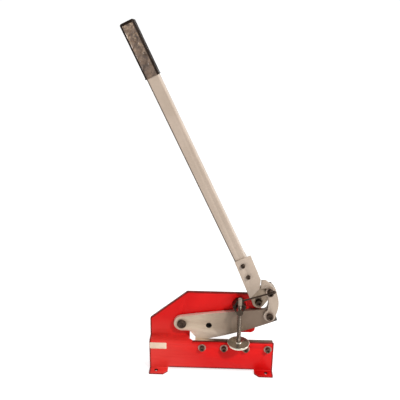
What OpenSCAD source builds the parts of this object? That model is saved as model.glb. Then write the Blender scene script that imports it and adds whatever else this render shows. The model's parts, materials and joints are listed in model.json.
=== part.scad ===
// Bench lever shear for sheet and round bar.
// A curved upper blade hinges on the back plate of a two-plate frame and shears past a lower
// blade bolted behind the front plate. A long lever on the nose of the back plate draws the free
// end of the blade down through a pair of curved links. A screw clamp holds the sheet down.
// Origin: centre of the four base bolts, on the floor.
// +X runs along the blades towards the lever, +Y away from the operator, +Z up.

/* [Frame] */
// Length of the frame along the blades
frame_l = 310; // [295:1:335]
// Height of the back plate
frame_h = 209; // [205:1:222]
// Thickness of both frame plates
plate_t = 6; // [5:0.5:8]
// Height of the front plate, which is also the height of the cutting line
front_h = 85; // [80:1:90]
// Clear height under the plates between the feet
skirt_gap = 7.5; // [6.5:0.5:12]
// Inside radius of the bends in the plates
bend_r = 2; // [1:0.5:4]
// Height at which the left edge of the back plate turns into the slope
slope_low = 132.5; // [120:0.5:150]
// Length along the frame that the slope takes
slope_l = 93; // [80:1:110]
// Radius of the corners at both ends of the slope
slope_r = 5; // [2:0.5:10]
// Length of the closed end of the frame, left of the throat
throat_x = 100; // [92:1:104]
// Length of the ledge bent back from the front plate
ledge_l = 108.5; // [104:0.5:111]
// Size of the corner cut off the ledge to clear the blade
ledge_cut = 8.5; // [6.5:0.5:9.5]
// Height of the throat above the cutting line
throat_up = 13; // [8:0.5:18]
// Depth of the throat below the cutting line
throat_down = 19; // [15:0.5:30]
// Radius of the lower corner of the upper arm
arm_corner_r = 12; // [6:0.5:20]
// Length of the spacers welded between the plates
spacer_l = 40; // [25:1:60]
// Height of the spacers welded between the plates
spacer_h = 24; // [15:1:30]

/* [Feet] */
// Length of each foot
foot_l = 46; // [40:1:60]
// Reach of each foot from its plate
foot_out = 20; // [18:0.5:30]
// Size of the cut inner corner of each foot
foot_cut = 11; // [5:0.5:14]
// Diameter of a base bolt hole
foot_hole_d = 9; // [6:0.5:11]
// Distance of a base bolt hole from the end of the frame
foot_hole_in = 17; // [14:0.5:22]

/* [Blades] */
// Thickness of both blades
blade_t = 10; // [8:0.5:12]
// Running gap between the blades
shear_gap = 0.1; // [0.05:0.05:0.2]
// Gap behind the upper blade, filled by the spacer washers
spacer_t = 1.9; // [1.5:0.1:3]
// Gap between the ledge and the lower blade
lower_gap = 5.5; // [3.5:0.5:10]
// Height of the lower blade
lower_h = 32; // [30:1:40]
// Distance from the right end of the frame to the lower blade
lower_in = 2; // [0:0.5:6]
// Distance of the blade pivot from the left end of the frame
pivot_in = 80; // [74:0.5:86]
// Height of the blade pivot above the cutting line
pivot_up = 41; // [39:0.5:46]
// Radius of the blade's hub
hub_r = 19.5; // [18:0.5:22]
// Radius of the blade's free end
end_r = 14.5; // [13:0.5:15]
// Reach of the blade's tip past the lower link pin
tip_over = 20; // [16:0.5:26]
// Drop of the blade's tip below the lower link pin
tip_drop = 15.5; // [14:0.5:18]
// Bow of the cutting edge
edge_bow = 6.2; // [3:0.1:9]
// Bow of the top edge of the blade
top_bow = 2; // [0:0.1:4]
// Distance of the heel from the left end of the lower blade
heel_in = 0; // [-1:0.5:6]
// Depth of the heel below the cutting line
heel_lap = 7.5; // [5:0.5:10]
// Diameter of the bar-shearing hole in the upper blade
bar_hole_d = 13; // [10:0.5:16]
// Diameter of the bar-shearing hole in the back plate
bar_guide_d = 9.5; // [8:0.5:16]
// Distance of the bar-shearing hole from the blade pivot
bar_hole_x = 68; // [60:0.5:80]
// Drop of the bar-shearing hole below the blade pivot
bar_hole_drop = 3; // [0:0.5:8]

/* [Lever] */
// Distance of the lever pivot from the right end of the frame
lever_in = 42; // [40:0.5:48]
// Distance of the lever pivot below the top of the back plate
lever_down = 17.5; // [14:0.5:20]
// Radius of the back plate's nose about the lever pivot
nose_r = 13; // [12:0.5:14]
// Drop of the back plate's jowl below the lever pivot
jowl_drop = 20; // [16:0.5:24]
// Reach of that jowl past the lever pivot
jowl_out = 9; // [6:0.5:12]
// Lean of the lever from upright, towards the blade's pivot
lever_lean = 25.5; // [22:0.5:28]
// Length of the lever from its pivot
lever_l = 709.5; // [600:0.5:800]
// Width of the square lever bar
bar_w = 28; // [25:0.5:30]
// Wall of the lever bar
bar_wall = 2.5; // [2:0.25:4]
// Corner radius of the lever bar
bar_corner_r = 3; // [1:0.5:5]
// Offset of the lever bar's middle to the right of the pivot
bar_x = 6; // [3:0.5:8]
// Height of the bottom of the lever bar above the pivot
bar_low = 70; // [68:0.5:76]
// Radius of the lever's hub
lever_hub_r = 15; // [14:0.5:17]
// Distance of the upper link pin from the lever pivot
crank_r = 42.6; // [41:0.2:44]
// Angle of the crank above square to the lever
crank_deg = 27.2; // [25:0.2:29]
// Thickness of the front and back walls of the lever head
wall_t = 2.5; // [2:0.25:3]
// Height of the top of the lever head above the pivot
head_top = 128.5; // [126:0.5:140]
// Height of the top of the lever head's web above the pivot
web_top = 110; // [106:0.5:118]
// Reach of the lever head to the right of the bar's middle
head_right = 27; // [25:0.5:30]
// Reach of the lever head's front wall past its web
wall_over = 5.5; // [4:0.5:6]
// Thickness of the floor under the bar in the lever head
floor_t = 6; // [4:0.5:6]
// Length of the tongue's tang in the lever head
tang_l = 40; // [30:1:42]
// Height of the lower lever bolt above the pivot
bolt_low = 79.5; // [78:0.5:84]
// Distance between the lever bolts
bolt_pitch = 32; // [24:0.5:34]
// Length of the grip
grip_l = 121; // [100:1:140]
// Wall of the grip
grip_wall = 2; // [1.5:0.25:4]
// Corner radius of the grip
grip_r = 6; // [4:0.5:8]

/* [Links] */
// Drop from the upper to the lower link pin
link_drop = 67.4; // [64:0.2:69]
// Offset of the lower link pin to the right of the upper one
link_dx = 2.7; // [0:0.1:5]
// Radius of the bow of the links
link_r = 66; // [60:0.5:76]
// Width of the links
link_w = 24; // [20:0.5:26]
// Thickness of the links
link_t = 6; // [5:0.5:6.5]
// Gap between the links and the pieces they straddle
link_gap = 0.5; // [0.3:0.1:0.8]
// End radius of the links at the lower pin
link_end_r = 15; // [13:0.5:15.5]
// Reach of the front link's tail to the left of the upper pin
tail_out = 22.5; // [18:0.5:23]
// Height of the front link's tail above the upper pin
tail_up = 28.4; // [24:0.2:29]
// Height of the tail's lower edge above the upper pin, beside the pin
tail_low = 9; // [4:0.5:12]
// Fall of the tail's lower edge towards its end
tail_fall = 4; // [0:0.5:6]
// Distance from the upper pin to the corner under the tail
tail_in = 9; // [8.5:0.5:11]

/* [Clamp] */
// Distance of the clamp from the right end of the frame
clamp_in = 88.5; // [86:0.5:100]
// Diameter of the clamp arm
arm_d = 16; // [14:0.5:18]
// Width across flats of the nuts on the clamp arm
arm_nut_af = 29; // [25:0.5:30]
// Thickness of the nut behind the back plate
arm_nut_h = 12; // [9:0.5:13]
// Length of the long nut in front of the back plate
arm_front_nut_h = 24; // [16:0.5:26]
// Gap between the long nut and the top edge of the blade
arm_nut_gap = 1.5; // [0.4:0.1:4]
// Reach of the clamp arm past the screw
arm_over = 8.5; // [8:0.5:14]
// Diameter of the clamp screw
clamp_d = 10; // [8:0.5:11]
// Height of the top of the clamp screw above the clamp arm
clamp_top = 34; // [30:0.5:40]
// Diameter of the clamp pad
pad_d = 54; // [46:0.5:55]
// Thickness of the clamp pad
pad_t = 5.5; // [4:0.5:8]
// Gap between the clamp pad and the face of the upper blade
pad_clear = 1.1; // [0.8:0.1:3]
// Height of the pad above the cutting line at rest
pad_gap = 5; // [5:0.1:7]
// Diameter of the boss on the clamp pad
pad_boss_d = 14; // [13:0.5:18]
// Height of the boss on the clamp pad
pad_boss_h = 2.5; // [2:0.5:6]
// Diameter of the clamp handle
handle_d = 4; // [3.5:0.25:6]
// Length of the clamp handle from the screw's axis
handle_l = 84; // [70:1:88]
// Rise of the clamp handle, in degrees
handle_rise = 19; // [15:0.5:24]
// Diameter of the ball on the clamp handle
ball_d = 8.5; // [7:0.5:10]

/* [Fasteners] */
// Diameter of the screws in the lower blade
screw_d = 8; // [6:0.5:8]
// Head diameter of the screws in the lower blade
screw_head_d = 13; // [11:0.5:14]
// Outside diameter of the washers under those screws
screw_washer_d = 20; // [18:0.5:22]
// Number of screws in the lower blade
screw_count = 4; // [3:1:5]
// Distance of the first screw from the left end of the lower blade
screw_first = 18; // [14:0.5:24]
// Distance of the last screw from the right end of the lower blade
screw_last = 12.5; // [11:0.5:20]
// Diameter of the blade pivot bolt
pivot_d = 14; // [12:0.5:16]
// Head diameter of the blade pivot bolt
pivot_head_d = 23.5; // [20:0.5:25]
// Height of the head of the blade pivot bolt
pivot_head_h = 4; // [3:0.5:8]
// Width across flats of the nut on the blade pivot bolt
pivot_af = 21; // [19:0.5:24]
// Diameter of the lever pivot bolt
lever_bolt_d = 12; // [10:0.5:13]
// Head diameter of the lever pivot bolt
lever_head_d = 15.5; // [14.5:0.5:18]
// Height of the head of the lever pivot bolt, part of it sunk in the lever's hub
lever_head_h = 13; // [6:0.5:14]
// Diameter of the link bolts
link_bolt_d = 12; // [10:0.5:13]
// Head diameter of the upper link bolt
upper_head_d = 15; // [14.5:0.5:19]
// Height of the head of the upper link bolt
upper_head_h = 13; // [5:0.5:14]
// Head diameter of the lower link bolt
link_head_d = 18; // [16:0.5:19]
// Height of the head of the lower link bolt
link_head_h = 7; // [5:0.5:8]
// Width across flats of the nuts on the link and lever pivot bolts
link_nut_af = 18; // [17:0.5:20]
// Diameter of the bolts through the lever bar
bar_bolt_d = 6; // [5:0.5:8]
// Wall of the bushes
bush_wall = 3; // [2:0.25:3.5]
// Radial clearance of a fixed bolt in its hole
fit = 0.1; // [0.05:0.05:0.3]
// Radial clearance of a turning joint
run = 0.05; // [0.02:0.01:0.1]
// Flat clearance between pieces that slide on each other
slide = 0.2; // [0.1:0.05:0.3]

/* [Hidden] */
$fn = 64;
// Overlap of pieces that are joined, and overshoot of a cut past the face it opens
eps = 0.01;
cut = 1;
RED = [0.76, 0.10, 0.09];
STEEL = [0.60, 0.57, 0.53];
PAINT = [0.74, 0.70, 0.62];
BLACK = [0.16, 0.14, 0.13];
BRIGHT = [0.80, 0.79, 0.77];
BRONZE = [0.65, 0.47, 0.26];

// Layers of the frame from front to back
frame_d = 2 * plate_t + 2 * blade_t + shear_gap + spacer_t;
y_front = -frame_d / 2;
y_lower = y_front + plate_t;
y_shear = y_lower + blade_t;
y_upper = y_shear + shear_gap;
y_upper_back = y_upper + blade_t;
y_back = y_upper_back + spacer_t;
y_rear = y_back + plate_t;
x_left = -frame_l / 2;
x_right = frame_l / 2;
bend_out_r = bend_r + plate_t;

// Pins of the linkage, seen from the front as [x, z]
blade_pin = [x_left + pivot_in, front_h + pivot_up];
lever_pin = [x_right - lever_in, frame_h - lever_down];
crank_dir = crank_deg + lever_lean;
upper_pin = lever_pin + crank_r * [cos(crank_dir), sin(crank_dir)];
lower_pin = upper_pin + [link_dx, -link_drop];
crank_pin = crank_r * [cos(crank_deg), sin(crank_deg)];
eye_r = link_w / 2;
eye_deg = 110;
belly_deg = crank_deg - 90 + asin((lever_hub_r - eye_r) / crank_r);
bar_hole = blade_pin + [bar_hole_x, -bar_hole_drop];

// Blades
lower_x0 = x_left + ledge_l + lower_gap;
lower_l = x_right - lower_in - lower_x0;
lower_z0 = front_h - lower_h;
screw_z = front_h - lower_h / 2;
screw_pitch = (lower_l - screw_first - screw_last) / (screw_count - 1);
screw_x = [for (i = [0 : screw_count - 1]) lower_x0 + screw_first + i * screw_pitch];
screw_head_h = screw_d;
screw_washer_t = 1.6;
screw_floor = 2;
screw_grip = blade_t - screw_floor;
blade_way = lower_pin - blade_pin;
blade_top_deg = 90 + atan2(blade_way[1], blade_way[0]) - asin((hub_r - end_r) / norm(blade_way));
blade_top_l = blade_pin + hub_r * [cos(blade_top_deg), sin(blade_top_deg)];
blade_top_r = lower_pin + end_r * [cos(blade_top_deg), sin(blade_top_deg)];
blade_tip = lower_pin + [tip_over, -tip_drop];
blade_heel = [lower_x0 + heel_in, front_h - heel_lap];
heel_step = 3.5;
heel_run = 1;

// Links, as a band of a ring about link_mid
pin_gap = norm(lower_pin - upper_pin);
pin_way = (lower_pin - upper_pin) / pin_gap;
link_rise = sqrt(link_r * link_r - pin_gap * pin_gap / 4);
link_mid = (upper_pin + lower_pin) / 2 + link_rise * [pin_way[1], -pin_way[0]];
upper_deg = atan2(upper_pin[1] - link_mid[1], upper_pin[0] - link_mid[0]);
lower_deg = atan2(lower_pin[1] - link_mid[1], lower_pin[0] - link_mid[0]);
y_link_front = y_upper - link_gap - link_t;
y_link_back = y_upper_back + link_gap;
link_washer_t = 2;
link_washer_d = 21;
link_nut_h = 10;
tail_span = 60;

// Lever, in its own upright frame about the lever pivot
y_bar = (y_upper + y_upper_back) / 2;
half_bar = bar_w / 2;
y_wall_front = y_bar - half_bar - fit - wall_t;
y_wall_back = y_bar + half_bar + fit;
head_d = y_wall_back + wall_t - y_wall_front;
head_floor = bar_low - floor_t;
head_x0 = bar_x - half_bar;
head_x1 = bar_x + head_right;
toe_out = 5;
toe_z = 24;
heel_out = 26;
heel_z = 39;
turn_in = 3;
turn_z = 60;
neck_in = 4;
wall_toe = [head_x0 - toe_out, toe_z];
wall_heel = [head_x0 + heel_out, heel_z];
wall_turn = [head_x1 - turn_in, turn_z];
bar_x1 = bar_x + half_bar;
web_x = bar_x1 + fit;
web_x1 = head_x1 - wall_over;
tang_x = web_x + fit;
bar_bolt_z = [bolt_low, bolt_low + bolt_pitch];
bar_bolt_head_d = 10;
bar_bolt_head_h = bar_bolt_d;
bar_bolt_nut_af = 10;
bar_bolt_nut_h = 5;
lever_seat = 5;
lever_sink = lever_seat + slide;
pivot_washer_t = 1.5;
pivot_washer_d = 24;
pivot_nut_h = 13;
spacer_ring_t = spacer_t - slide;
pivot_spacer_in = 2;
lever_spacer_in = 1;
pivot_spacer_r = hub_r - pivot_spacer_in;
lever_spacer_r = nose_r - lever_spacer_in;
grip_end = 4;
grip_dome = 4;
dome_steps = 3;
bar_l = lever_l - grip_end - bar_low;
grip_w = bar_w + 2 * grip_wall;
grip_z = lever_l - grip_l;
socket_ratio = 0.55;
thread_over = 2;

// Clamp
clamp_x = x_right - clamp_in;
clamp_y = y_upper - pad_clear - pad_d / 2;
blade_top_share = (clamp_x - blade_top_l[0]) / (blade_top_r[0] - blade_top_l[0]);
clamp_share = min(blade_top_share + arm_nut_af / 2 / (blade_top_r[0] - blade_top_l[0]), 1);
clamp_over_z = bow_point(blade_top_l, blade_top_r, top_bow, clamp_share)[1];
clamp_z = clamp_over_z + arm_nut_gap + arm_nut_af / 2;
arm_front = clamp_y - arm_over;
pad_z = front_h + pad_gap;
pad_seat = pad_t / 2;
handle_down = 8;
handle_z = clamp_z + clamp_top - handle_down;
stub_gap = link_gap / 2;

// Point at share t of a shallow curve from p to q, bowed by s to the left of its way
function bow_point(p, q, s, t) =
    let (way = (q - p) / norm(q - p))
    p + t * (q - p) + 4 * s * t * (1 - t) * [-way[1], way[0]];

// Points of that curve, both ends included
function bow(p, q, s, n) = [for (i = [0 : n]) bow_point(p, q, s, i / n)];

// Points of a round stretch about c
function arc(c, r, from, to, n) =
    [for (i = [0 : n]) let (a = from + (to - from) * i / n) c + r * [cos(a), sin(a)]];

// Points that round off the corner b of a clockwise outline a, b, c
function round_corner(a, b, c, r, n) =
    let (
        u = (a - b) / norm(a - b),
        v = (c - b) / norm(c - b),
        half = acos(u * v) / 2,
        mid = b + r / sin(half) * (u + v) / norm(u + v),
        start = b + r / tan(half) * u - mid,
        from = atan2(start[1], start[0])
    )
    arc(mid, r, from, from - 180 + 2 * half, n);

// Outline drawn as seen from the front, as a slab of thickness t with its front at y
module slab(y, t) {
    translate([0, y + t, 0]) rotate([90, 0, 0]) linear_extrude(t) children();
}

// Round bar along Y between y0 and y1, about p = [x, z]
module bar_y(p, y0, y1, r) {
    translate([p[0], y1, p[1]]) rotate([90, 0, 0]) cylinder(h = y1 - y0, r = r);
}

// Hexagonal bar along Y, corners to the left and right
module hex_y(p, y0, y1, af) {
    translate([p[0], y1, p[1]]) rotate([90, 0, 0])
        cylinder(h = y1 - y0, r = af / 2 / cos(30), $fn = 6);
}

// Ring along Y
module ring_y(p, y0, y1, r_out, r_in) {
    difference() {
        bar_y(p, y0, y1, r_out);
        bar_y(p, y0 - cut, y1 + cut, r_in);
    }
}

// Hexagonal nut along Y
module nut_y(p, y0, y1, af, r_in) {
    difference() {
        hex_y(p, y0, y1, af);
        bar_y(p, y0 - cut, y1 + cut, r_in);
    }
}

// Cap screw along Y, its head's underside at y, its shank running back to y_end
module cap_screw_y(p, y, y_end, d, head_d, head_h) {
    difference() {
        union() {
            bar_y(p, y - head_h, y, head_d / 2);
            bar_y(p, y - eps, y_end, d / 2);
        }
        hex_y(p, y - head_h - cut, y - head_h / 2, head_d * socket_ratio);
    }
}

// Square with round corners, centred
module round_square(w, r) {
    square([w, w - 2 * r], center = true);
    square([w - 2 * r, w], center = true);
    for (sx = [-1, 1], sy = [-1, 1])
        translate([sx * (w / 2 - r), sy * (w / 2 - r)]) circle(r);
}

// Section of a bent plate: a leg along X and a rise along Y, its heel at the origin
module bend_section(leg, rise) {
    c = [bend_out_r, bend_out_r];
    polygon(concat(
        [[0, rise]],
        arc(c, bend_out_r, 180, 270, 8),
        [[leg, 0], [leg, plate_t]],
        arc(c, bend_r, 270, 180, 8),
        [[plate_t, rise]]
    ));
}

// Foot bent outwards from a plate, from the frame's end at X = 0, outwards along Y
module foot() {
    reach = plate_t + foot_out;
    difference() {
        rotate([90, 0, 90]) linear_extrude(foot_l)
            bend_section(reach, bend_out_r + skirt_gap);
        translate([0, 0, -cut]) linear_extrude(plate_t + 2 * cut)
            polygon([
                [foot_l + cut, reach + cut],
                [foot_l - foot_cut - cut, reach + cut],
                [foot_l + cut, reach - foot_cut - cut]
            ]);
        translate([foot_hole_in, plate_t + foot_out / 2, -cut])
            cylinder(h = plate_t + 2 * cut, r = foot_hole_d / 2);
    }
}

// Both feet of one plate, whose inner face is at Y = 0
module feet() {
    for (side = [0, 1])
        mirror([side, 0, 0]) translate([x_left, 0, 0]) foot();
}

module back_plate() {
    arm_x = lever_pin[0] - nose_r / 3;
    throat_top = front_h + throat_up;
    throat_low = front_h - throat_down;
    corner = [arm_x - arm_corner_r, throat_top + arm_corner_r];
    foot_left = [x_left, skirt_gap];
    slope_a = [x_left, slope_low];
    slope_b = [x_left + slope_l, frame_h];
    nose_top = [lever_pin[0], frame_h];
    nose_end = lever_pin + [nose_r, 0];
    jowl = lever_pin + [jowl_out, -jowl_drop];
    color(RED) {
        slab(y_back, plate_t) difference() {
            union() {
                polygon(concat(
                    [foot_left],
                    round_corner(foot_left, slope_a, slope_b, slope_r, 6),
                    round_corner(slope_a, slope_b, nose_top, slope_r, 6),
                    round_corner(slope_b, nose_top, nose_end, slope_r, 6),
                    [nose_end, jowl, [arm_x, jowl[1] - jowl_drop]],
                    arc(corner, arm_corner_r, 0, -90, 8),
                    [
                        [x_left + throat_x, throat_top], [x_left + throat_x, throat_low],
                        [x_right, throat_low], [x_right, skirt_gap]
                    ]
                ));
                translate(lever_pin) circle(nose_r);
            }
            translate(blade_pin) circle(pivot_d / 2 + fit);
            translate(lever_pin) circle(lever_bolt_d / 2 + fit);
            translate([clamp_x, clamp_z]) circle(arm_d / 2 + fit);
            translate(bar_hole) circle(bar_guide_d / 2);
        }
        translate([0, y_back, 0]) feet();
    }
}

module front_plate() {
    ledge = y_back - y_front;
    color(RED) {
        difference() {
            union() {
                translate([x_left, y_front, skirt_gap])
                    cube([frame_l, plate_t, front_h - bend_out_r - skirt_gap]);
                translate([x_left + ledge_l, y_front, front_h - bend_out_r - eps])
                    cube([frame_l - ledge_l, plate_t, bend_out_r + eps]);
            }
            for (x = screw_x)
                bar_y([x, screw_z], y_front - cut, y_lower + cut, screw_d / 2 + fit);
        }
        difference() {
            translate([x_left, y_front, front_h]) mirror([0, 0, 1])
                rotate([90, 0, 90]) linear_extrude(ledge_l) bend_section(ledge, 2 * bend_out_r);
            translate([x_left + ledge_l, y_lower, front_h - 2 * bend_out_r])
                linear_extrude(2 * bend_out_r + cut)
                    polygon([
                        [0, 0], [cut, 0], [cut, ledge], [-ledge_cut, ledge], [-ledge_cut, ledge_cut]
                    ]);
        }
        translate([0, y_lower, 0]) mirror([0, 1, 0]) feet();
    }
}

module frame_spacers() {
    color(RED)
        for (x = [x_left + foot_hole_in, x_right - foot_hole_in - spacer_l])
            translate([x, y_lower, skirt_gap]) cube([spacer_l, y_back - y_lower, spacer_h]);
}

module lower_blade() {
    color(STEEL) difference() {
        translate([lower_x0, y_lower, lower_z0]) cube([lower_l, blade_t, lower_h]);
        for (x = screw_x)
            bar_y([x, screw_z], y_lower - cut, y_lower + screw_grip + fit, screw_d / 2 + fit);
    }
}

module lower_blade_screws() {
    color(BLACK)
        for (x = screw_x)
            cap_screw_y([x, screw_z], y_front - screw_washer_t, y_lower + screw_grip,
                screw_d, screw_head_d, screw_head_h);
}

module lower_blade_washers() {
    color(BRIGHT)
        for (x = screw_x)
            ring_y([x, screw_z], y_front - screw_washer_t, y_front,
                screw_washer_d / 2, screw_d / 2 + fit);
}

module upper_blade() {
    heel_up = [blade_heel[0] + heel_run, front_h + heel_step];
    color(STEEL) slab(y_upper, blade_t) difference() {
        polygon(concat(
            arc(blade_pin, hub_r, 270, blade_top_deg, 24),
            bow(blade_top_l, blade_top_r, top_bow, 12),
            arc(lower_pin, end_r, blade_top_deg, 0, 12),
            bow(blade_tip, blade_heel, edge_bow, 20),
            [heel_up, blade_pin + [hub_r, -hub_r]]
        ));
        translate(blade_pin) circle(pivot_d / 2 + run + bush_wall + run);
        translate(lower_pin) circle(link_bolt_d / 2 + run);
        translate(bar_hole) circle(bar_hole_d / 2);
    }
}

module blade_bush() {
    r = pivot_d / 2 + run;
    color(BRONZE) ring_y(blade_pin, y_upper, y_upper_back, r + bush_wall, r);
}

module blade_end_pin() {
    color(BRIGHT) bar_y(lower_pin, y_upper, y_upper_back, link_bolt_d / 2);
}

module blade_pivot_bolt() {
    y = y_upper - slide - pivot_washer_t;
    y_end = y_rear + pivot_washer_t + pivot_nut_h + thread_over;
    color(BLACK) cap_screw_y(blade_pin, y, y_end, pivot_d, pivot_head_d, pivot_head_h);
}

module blade_pivot_washers() {
    color(BRIGHT)
        for (y = [y_upper - slide - pivot_washer_t, y_rear])
            ring_y(blade_pin, y, y + pivot_washer_t, pivot_washer_d / 2, pivot_d / 2 + fit);
}

module blade_pivot_spacer() {
    color(BRONZE)
        ring_y(blade_pin, y_back - spacer_ring_t, y_back, pivot_spacer_r, pivot_d / 2 + fit);
}

module blade_pivot_nut() {
    y = y_rear + pivot_washer_t;
    color(BLACK) nut_y(blade_pin, y, y + pivot_nut_h, pivot_af, pivot_d / 2 + fit);
}

// Stands its children, drawn upright about the origin, on the lever pivot at the lever's lean
module on_lever() {
    translate([lever_pin[0], 0, lever_pin[1]]) rotate([0, -lever_lean, 0]) children();
}

module lever_tongue() {
    bore_r = lever_bolt_d / 2 + run + bush_wall + run;
    color(STEEL) on_lever() difference() {
        slab(y_upper, blade_t) difference() {
            polygon(concat(
                arc([0, 0], lever_hub_r, belly_deg, -180, 16),
                [
                    [head_x0, head_floor], [tang_x, head_floor],
                    [tang_x, head_floor + tang_l], [web_x1, head_floor + tang_l],
                    [web_x1, head_floor], wall_heel - [neck_in, 0]
                ],
                arc(crank_pin, eye_r, eye_deg, belly_deg, 20)
            ));
            translate(crank_pin) circle(link_bolt_d / 2 + run);
        }
        bar_y([0, 0], y_upper - cut, y_upper_back + cut, bore_r);
        bar_y([0, 0], y_upper - cut, y_upper + lever_sink, lever_head_d / 2 + 2 * slide);
    }
}

module lever_bush() {
    r = lever_bolt_d / 2 + run;
    color(BRONZE) ring_y(lever_pin, y_upper + lever_sink, y_upper_back, r + bush_wall, r);
}

module lever_pivot_bolt() {
    y = y_upper + lever_seat;
    color(BLACK) cap_screw_y(lever_pin, y, y_rear + link_nut_h + thread_over,
        lever_bolt_d, lever_head_d, lever_head_h);
}

module lever_pivot_spacer() {
    color(BRONZE)
        ring_y(lever_pin, y_back - spacer_ring_t, y_back, lever_spacer_r, lever_bolt_d / 2 + fit);
}

module lever_pivot_nut() {
    color(BLACK)
        nut_y(lever_pin, y_rear, y_rear + link_nut_h, link_nut_af, lever_bolt_d / 2 + fit);
}

// Channel that holds the foot of the bar: two walls, a web on the right and a floor
module lever_head() {
    color(PAINT) on_lever() difference() {
        union() {
            slab(y_wall_front, wall_t) polygon([
                wall_toe, [head_x0, head_top], [head_x1, head_top], wall_turn, wall_heel
            ]);
            slab(y_wall_back, wall_t) polygon([
                [head_x0, head_floor], [head_x0, head_top], [bar_x1, head_top],
                [bar_x1, web_top], [web_x1, web_top], [web_x1, head_floor]
            ]);
            translate([web_x, y_wall_front, head_floor])
                cube([web_x1 - web_x, head_d, web_top - head_floor]);
            translate([head_x0, y_wall_front, head_floor])
                cube([web_x1 - head_x0, head_d, floor_t]);
        }
        translate([web_x - cut, y_upper - fit, head_floor - cut])
            cube([web_x1 - web_x + 2 * cut, blade_t + 2 * fit, tang_l + cut + fit]);
        for (z = bar_bolt_z)
            bar_y([bar_x, z], y_wall_front - cut, y_wall_back + wall_t + cut, bar_bolt_d / 2 + fit);
    }
}

module lever_bar() {
    color(PAINT) on_lever() difference() {
        translate([bar_x, y_bar, bar_low]) linear_extrude(bar_l) difference() {
            round_square(bar_w, bar_corner_r);
            square(bar_w - 2 * bar_wall, center = true);
        }
        for (z = bar_bolt_z)
            bar_y([bar_x, z], y_bar - bar_w, y_bar + bar_w, bar_bolt_d / 2 + fit);
    }
}

module lever_bolts() {
    y_nut = y_wall_back + wall_t;
    color(BLACK) on_lever()
        for (z = bar_bolt_z)
            cap_screw_y([bar_x, z], y_wall_front, y_nut + bar_bolt_nut_h + thread_over,
                bar_bolt_d, bar_bolt_head_d, bar_bolt_head_h);
}

module lever_bolt_nuts() {
    y_nut = y_wall_back + wall_t;
    color(BLACK) on_lever()
        for (z = bar_bolt_z)
            nut_y([bar_x, z], y_nut, y_nut + bar_bolt_nut_h, bar_bolt_nut_af,
                bar_bolt_d / 2 + fit);
}

module lever_grip() {
    straight = grip_l - grip_dome;
    step = 90 / dome_steps;
    color(BLACK) on_lever() translate([bar_x, y_bar, grip_z]) difference() {
        union() {
            linear_extrude(straight) round_square(grip_w, grip_r);
            hull()
                for (i = [0 : dome_steps])
                    translate([0, 0, straight + grip_dome * sin(step * i) - eps])
                        linear_extrude(eps)
                            round_square(grip_w - grip_dome * (1 - cos(step * i)), grip_r, $fn = 24);
        }
        translate([0, 0, -cut]) linear_extrude(grip_l - grip_end + cut)
            round_square(bar_w + 2 * fit, bar_corner_r);
    }
}

// Band of the links' ring between two directions from link_mid
module link_band(from, to) {
    far = 2 * link_r;
    translate(link_mid) intersection() {
        difference() {
            circle(link_r + link_w / 2);
            circle(link_r - link_w / 2);
        }
        polygon([[0, 0], for (a = [from, (from + to) / 2, to]) far * [cos(a), sin(a)]]);
    }
}

module link_holes() {
    for (p = [upper_pin, lower_pin])
        translate(p) circle(link_bolt_d / 2 + fit);
}

// Front link, whose tail past the upper pin has a square end
module front_link() {
    tail = upper_pin + [-tail_out, tail_up];
    reach = 2 * link_r;
    color(PAINT) slab(y_link_front, link_t) difference() {
        union() {
            intersection() {
                link_band(lower_deg, upper_deg + tail_span);
                translate(tail - [0, reach]) square([reach, reach]);
            }
            translate(lower_pin) circle(link_end_r);
        }
        link_holes();
        translate(upper_pin) polygon([
            [-tail_in, tail_low], [-tail_in, -link_w], [-reach, -link_w],
            [-reach, tail_low - tail_fall * reach / tail_out]
        ]);
    }
}

module rear_link() {
    color(PAINT) slab(y_link_back, link_t) difference() {
        union() {
            link_band(lower_deg, upper_deg);
            translate(lower_pin) circle(link_end_r);
            translate(upper_pin) circle(eye_r);
        }
        link_holes();
    }
}

module link_washers() {
    y = y_link_front - link_washer_t;
    color(BRIGHT)
        for (p = [upper_pin, lower_pin])
            ring_y(p, y, y_link_front, link_washer_d / 2, link_bolt_d / 2 + fit);
}

// Bolt on the front link's washer, its shank running back to y_end
module link_bolt(p, y_end, head_d, head_h) {
    cap_screw_y(p, y_link_front - link_washer_t, y_end, link_bolt_d, head_d, head_h);
}

module link_upper_bolt() {
    y_end = y_link_back + link_t + link_nut_h + thread_over;
    color(BLACK) link_bolt(upper_pin, y_end, upper_head_d, upper_head_h);
}

module link_lower_bolt() {
    color(BLACK) link_bolt(lower_pin, y_upper - stub_gap, link_head_d, link_head_h);
}

module link_upper_nut() {
    y = y_link_back + link_t;
    color(BLACK) nut_y(upper_pin, y, y + link_nut_h, link_nut_af, link_bolt_d / 2 + fit);
}

// Far end of the lower link bolt with its nut, as one piece behind the blade
module link_lower_nut() {
    y = y_link_back + link_t;
    color(BLACK) {
        hex_y(lower_pin, y, y + link_nut_h, link_nut_af);
        bar_y(lower_pin, y_upper_back + stub_gap, y + link_nut_h + thread_over, link_bolt_d / 2);
    }
}

module clamp_arm() {
    y_end = y_rear + arm_nut_h + thread_over;
    color(BLACK) difference() {
        bar_y([clamp_x, clamp_z], arm_front, y_end, arm_d / 2);
        translate([clamp_x, clamp_y, clamp_z - arm_d]) cylinder(h = 2 * arm_d, r = clamp_d / 2 + run);
    }
}

module clamp_arm_nuts() {
    color(BLACK)
        for (y = [[y_back - arm_front_nut_h, y_back], [y_rear, y_rear + arm_nut_h]])
            nut_y([clamp_x, clamp_z], y[0], y[1], arm_nut_af, arm_d / 2 + fit);
}

module clamp_pad() {
    color(BRIGHT) translate([clamp_x, clamp_y, pad_z]) difference() {
        union() {
            cylinder(h = pad_t, r = pad_d / 2);
            cylinder(h = pad_t + pad_boss_h, r = pad_boss_d / 2);
        }
        translate([0, 0, pad_seat]) cylinder(h = pad_t + pad_boss_h, r = clamp_d / 2 + run);
    }
}

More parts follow.
